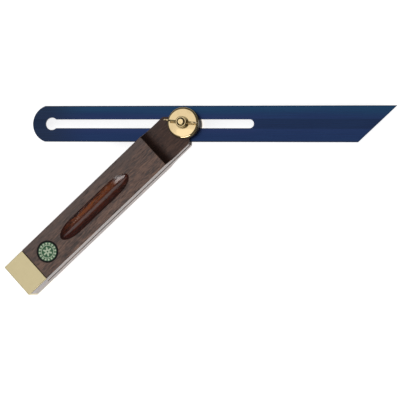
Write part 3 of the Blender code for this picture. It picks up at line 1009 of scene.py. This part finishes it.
def makeWingNut(material):
    n = nutShape
    foot, bore = levels["nutFoot"], n["bore"]
    top = foot + n["hubHeight"]
    start = (bore, foot + 0.001, 0)
    hub = roundCorners([start, (bore, foot, 0.0001), (n["footRadius"], foot, 0.0002),
                        (n["footRadius"] - 0.00012, foot + 0.0007, 0.0006),
                        (n["topRadius"], top, n["topRound"]), (bore, top, 0.0002), start], 8)
    meshes = [turnedMesh("hub", hub, 128)]
    # The wing's lower and upper edges against the distance from the axis: straight from the hub to
    # where they touch the circle of the tip, then round it
    centre = np.array([n["span"] / 2 - n["tipRadius"], n["height"] - n["tipRadius"]])
    edges = []
    for height, sign in ((n["rootLow"], -1), (n["rootHigh"], 1)):
        root = np.array([n["wingRoot"], height])
        touch = math.asin(n["tipRadius"] / np.linalg.norm(centre - root)) + math.pi / 2
        bearing = math.atan2(*(centre - root)[::-1]) + sign * touch
        turn = np.linspace(bearing, 0, 40)
        curve = centre + n["tipRadius"] * np.c_[np.cos(turn), np.sin(turn)]
        path = np.concatenate([[root], curve])
        edges.append(path[np.argsort(path[:, 0], kind="stable")].T)
    reach = np.concatenate([np.linspace(n["wingRoot"], centre[0], 30, endpoint=False),
                            centre[0] + n["tipRadius"] * np.sin(np.linspace(0, math.pi / 2, 28))])
    low, high = (np.interp(reach, *edge) for edge in edges)
    middle, half = (low + high) / 2, (high - low) / 2
    # Each section is a rounded bar, thick at the hub and thinning as e to the minus the distance,
    # and its thickness follows a quarter circle to nothing at the tip
    flare = np.exp(-(reach - n["wingRoot"]) / n["flareLength"])
    thickness = n["tipThickness"] + (n["rootThickness"] - n["tipThickness"]) * flare
    beyond = ((reach - (n["span"] / 2 - n["tipRound"])) / n["tipRound"]).clip(0, 1)
    thickness = thickness * np.sqrt(np.clip(1 - beyond ** 2, 0, 1))
    around = np.linspace(0, 2 * math.pi, n["steps"], endpoint=False)
    blunt = [np.sign(wave) * np.abs(wave) ** 0.5 for wave in (np.cos(around), np.sin(around))]
    for side in (-1, 1):
        wing = np.stack([np.repeat(side * reach[:, None], n["steps"], axis=1),
                         (thickness / 2)[:, None] * blunt[0],
                         foot + middle[:, None] + half[:, None] * blunt[1]], axis=-1)
        faces = gridFaces(len(reach), n["steps"], closeColumns=True)
        faces.append(np.arange(n["steps"])[::-1].tolist())
        meshes.append(makeMesh("wing", wing, faces))
    nut = joinMeshes("nut", meshes)
    turnMesh(nut, levels["nutTurn"])
    makePiece("cast_wing_nut", nut, material, "nut_body", ["wing_nut"], 40)


# Studio: pale floor, a broad soft light overhead and to the left, a small dim one above the stock,
# and a bright one in front

studio = {
    "floorColor": (0.75, 0.75, 0.75),
    "floorGlow": 0.79,
    "floorReach": 3,
    "world": 0.11,
    # Each panel's centre, the point it is aimed at, its width, its height and its brightness
    "lights": {
        "overhead": ((-0.65, 0.10, 1.25), (-0.65, 0.10, 0), 1.70, 1.2, 1.0),
        "fore": ((-0.095, -0.17, 1.24), (-0.095, -0.17, 0), 0.47, 0.40, 0.31),
        "front": ((-0.02, -0.90, 0.84), (-0.02, -0.02, 0), 0.72, 0.30, 6.0),
    },
    "sensorWidth": 36,
    "lens": 1628.59 * 36 / 400,  # the fitted focal length, in pixels of the 400 pixel wide picture
    "cameraPlace": (0.1637187, -0.0807182, 0.8443567),
    "cameraTurn": (0.0511, 0.1825, 0.0177),
}


def makeStudio():
    reach = studio["floorReach"]
    corners = [(-reach, -reach), (reach, -reach), (reach, reach), (-reach, reach)]
    material, tree, shader = makeMaterial("paper", {
        "Base Color": (*studio["floorColor"], 1), "Roughness": 0.9,
        "Emission Color": (1, 1, 1, 1), "Emission Strength": studio["floorGlow"]})
    floor = addToScene("floor", bar("floor", corners, -0.01, -0.00002))
    floor.data.materials.append(material)
    world = bpy.data.worlds.new("studio")
    world.use_nodes = True
    world.node_tree.nodes["Background"].inputs["Color"].default_value = (1, 1, 1, 1)
    world.node_tree.nodes["Background"].inputs["Strength"].default_value = studio["world"]
    bpy.context.scene.world = world
    for name, (place, aim, width, height, brightness) in studio["lights"].items():
        # The power that gives a panel of this size this brightness
        light = addToScene(name, bpy.data.lights.new(name, "AREA"))
        light.data.shape = "RECTANGLE"
        light.data.size, light.data.size_y = width, height
        light.data.energy = brightness * math.pi * width * height
        light.location = place
        toAim = Vector(place) - Vector(aim)
        light.rotation_euler = toAim.to_track_quat("Z", "Y").to_euler()
    camera = addToScene("camera", bpy.data.cameras.new("camera"))
    camera.data.sensor_width = studio["sensorWidth"]
    camera.data.lens = studio["lens"]
    camera.location = studio["cameraPlace"]
    camera.rotation_euler = studio["cameraTurn"]
    bpy.context.scene.camera = camera
    bpy.context.scene.view_settings.view_transform = "Standard"
    print("studio ready")


rosewood = makeRosewood()
plateBrass = makePlateBrass()
discBrass = makeTurnedBrass("turned_brass", brassLook["turned"], brassLook["discRoughness"],
                            brassLook["discShadeBands"])
nutBrass = makeTurnedBrass("nut_brass", brassLook["turned"], brassLook["nutRoughness"],
                           brassLook["nutShadeBands"], brassLook["wingSideShade"])
boltBrass = makeTurnedBrass("bolt_brass", brassLook["bolt"], brassLook["boltRoughness"],
                            brassLook["boltShadeBands"])
makeStock(rosewood)
makeHeelCap(plateBrass)
makeBadge(makeEnamel())
makeBlade(makeBluedSteel())
makeDiscs(discBrass)
makeBolt(boltBrass)
makeWingNut(nutBrass)
makeStudio()
